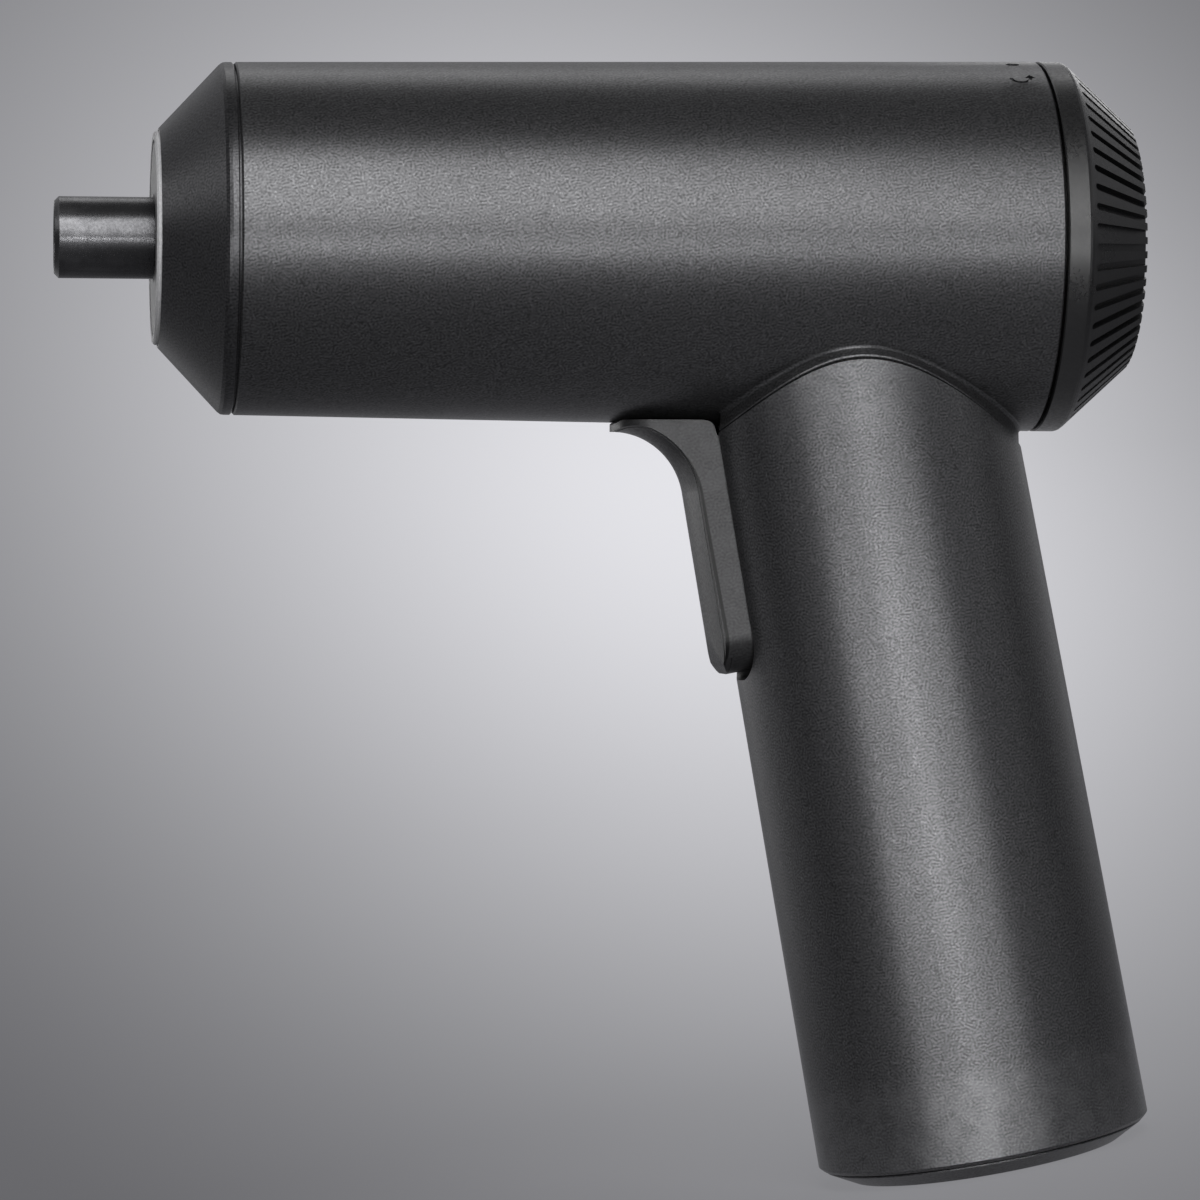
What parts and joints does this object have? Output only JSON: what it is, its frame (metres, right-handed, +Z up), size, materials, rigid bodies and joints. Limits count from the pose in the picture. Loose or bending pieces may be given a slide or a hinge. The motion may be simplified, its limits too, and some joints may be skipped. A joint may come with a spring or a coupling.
{
  "type": "electric screwdriver",
  "caption": "Pistol-shaped cordless screwdriver: tapered round barrel on a straight handle, hex bit sleeve, light ring, ribbed rotary direction cap and a hinged trigger.",
  "frame": {"origin": "centre of the base cap's flat underside, on the handle's axis", "axes": "+Z up the handle's axis, -X towards the nose, Y across the tool; the barrel's axis crosses the handle's axis at Z = 113 mm and rises 10.5 degrees towards the nose"},
  "size_m": [0.1314, 0.045, 0.147],
  "materials": {
    "grained_plastic": "fine leather grain",
    "dark_plastic": "smooth satin",
    "lens_plastic": "frosted translucent",
    "disc_plastic": "fine matte",
    "board_green": "solder mask",
    "black_steel": "blackened, finely blasted",
    "bright_steel": "turned",
    "bush_bronze": "sintered",
    "spring_steel": "drawn wire",
    "gearbox_plastic": "glass filled",
    "gear_steel": "sintered",
    "gear_nylon": "moulded",
    "zinc_steel": "zinc plated",
    "ivory_plastic": "moulded",
    "magnet_black": "ground",
    "copper_winding": "wound",
    "contact_brass": "stamped",
    "frame_plastic": "moulded",
    "cap_plastic": "fine matte",
    "cell_sleeve": "shrink sleeve on the cell's can",
    "switch_plastic": "moulded",
    "button_red": "moulded",
    "pad_plastic": "smooth satin",
    "wire_insulation": "extruded"
  },
  "bodies": {
    "housing": {"barrel_shell": "grained_plastic", "nose_cone": "dark_plastic", "light_ring": "lens_plastic", "face_disc": "disc_plastic", "led_board": "board_green", "spindle_bush": "bush_bronze", "gearbox_cover": "gearbox_plastic", "gearbox_case": "gearbox_plastic", "ring_gear": "gear_steel", "thrust_washer": "bush_bronze", "motor_plate": "bright_steel", "motor_screws": "zinc_steel", "gearbox_screws": "zinc_steel", "motor_can": "bright_steel", "motor_endbell": "ivory_plastic", "motor_magnets": "magnet_black", "motor_terminals": "contact_brass", "selector_seat": "frame_plastic", "seat_screws": "zinc_steel", "detent_ball": "bright_steel", "detent_spring": "spring_steel", "selector_board": "board_green", "handle_shell": "grained_plastic", "inner_frame": "frame_plastic", "frame_screws": "zinc_steel", "battery_cell": "cell_sleeve", "battery_contacts": "contact_brass", "control_board": "board_green", "micro_switch": "switch_plastic", "trigger_pin": "bright_steel", "trigger_spring": "spring_steel", "charge_board": "board_green", "charge_port": "bright_steel", "base_cap": "dark_plastic", "base_screws": "zinc_steel", "lead_wires": "wire_insulation"},
    "output_spindle": {"bit_spindle": "black_steel", "bit_magnet": "bright_steel", "spindle_clip": "spring_steel", "output_carrier": "gear_steel", "output_pins": "bright_steel"},
    "first_stage": {"first_carrier": "gear_steel", "input_pins": "bright_steel"},
    "motor_rotor": {"motor_pinion": "gear_steel", "motor_armature": "copper_winding", "motor_shaft": "bright_steel"},
    "output_planet_a": {"output_planets_a": "gear_steel"},
    "output_planet_b": {"output_planets_b": "gear_steel"},
    "output_planet_c": {"output_planets_c": "gear_steel"},
    "input_planet_a": {"input_planets_a": "gear_nylon"},
    "input_planet_b": {"input_planets_b": "gear_nylon"},
    "input_planet_c": {"input_planets_c": "gear_nylon"},
    "selector": {"selector_cap": "cap_plastic", "detent_disc": "ivory_plastic", "detent_screws": "zinc_steel", "selector_wiper": "contact_brass", "selector_clip": "spring_steel"},
    "trigger_lever": {"trigger": "grained_plastic", "trigger_pad": "pad_plastic"},
    "plunger": {"switch_plunger": "button_red"}
  },
  "joints": [
    {"name": "spindle_spin", "type": "hinge", "parent": "housing", "child": "output_spindle", "pos_m": [0, 0, 0.113], "axis": [-0.9833, 0, 0.1822], "continuous": true},
    {"name": "first_stage_spin", "type": "hinge", "parent": "housing", "child": "first_stage", "pos_m": [0, 0, 0.113], "axis": [-0.9833, 0, 0.1822], "continuous": true},
    {"name": "motor_spin", "type": "hinge", "parent": "housing", "child": "motor_rotor", "pos_m": [0, 0, 0.113], "axis": [-0.9833, 0, 0.1822], "continuous": true},
    {"name": "output_planet_a_spin", "type": "hinge", "parent": "output_spindle", "child": "output_planet_a", "pos_m": [-0.04083, 0, 0.11218], "axis": [-0.9833, 0, 0.1822], "continuous": true},
    {"name": "input_planet_a_spin", "type": "hinge", "parent": "first_stage", "child": "input_planet_a", "pos_m": [-0.04083, 0, 0.11218], "axis": [-0.9833, 0, 0.1822], "continuous": true},
    {"name": "output_planet_b_spin", "type": "hinge", "parent": "output_spindle", "child": "output_planet_b", "pos_m": [-0.03858, 0.00714, 0.12435], "axis": [-0.9833, 0, 0.1822], "continuous": true},
    {"name": "input_planet_b_spin", "type": "hinge", "parent": "first_stage", "child": "input_planet_b", "pos_m": [-0.03858, 0.00714, 0.12435], "axis": [-0.9833, 0, 0.1822], "continuous": true},
    {"name": "output_planet_c_spin", "type": "hinge", "parent": "output_spindle", "child": "output_planet_c", "pos_m": [-0.03858, -0.00714, 0.12435], "axis": [-0.9833, 0, 0.1822], "continuous": true},
    {"name": "input_planet_c_spin", "type": "hinge", "parent": "first_stage", "child": "input_planet_c", "pos_m": [-0.03858, -0.00714, 0.12435], "axis": [-0.9833, 0, 0.1822], "continuous": true},
    {"name": "selector_turn", "type": "hinge", "parent": "housing", "child": "selector", "pos_m": [0, 0, 0.113], "axis": [-0.9833, 0, 0.1822], "range_deg": [-14, 14]},
    {"name": "trigger_swing", "type": "hinge", "parent": "housing", "child": "trigger_lever", "pos_m": [-0.0115, 0, 0.089], "axis": [0, -1, 0], "range_deg": [0, 4.5], "stiffness_Nm_per_rad": 0.19, "springref_deg": -8.59, "deforming": ["trigger_spring"]},
    {"name": "plunger_press", "type": "slide", "parent": "housing", "child": "plunger", "axis": [1, 0, 0], "range_m": [0, 0.00087]}
  ],
  "couplings": [
    {"joint": "first_stage_spin", "follows": "spindle_spin", "ratio": 6.6667},
    {"joint": "motor_spin", "follows": "spindle_spin", "ratio": 44.444},
    {"joint": "output_planet_a_spin", "follows": "spindle_spin", "ratio": -2.4286},
    {"joint": "output_planet_b_spin", "follows": "spindle_spin", "ratio": -2.4286},
    {"joint": "output_planet_c_spin", "follows": "spindle_spin", "ratio": -2.4286},
    {"joint": "input_planet_a_spin", "follows": "spindle_spin", "ratio": -16.19},
    {"joint": "input_planet_b_spin", "follows": "spindle_spin", "ratio": -16.19},
    {"joint": "input_planet_c_spin", "follows": "spindle_spin", "ratio": -16.19},
    {"joint": "plunger_press", "follows": "trigger_swing", "m_per_rad": 0.011}
  ]
}
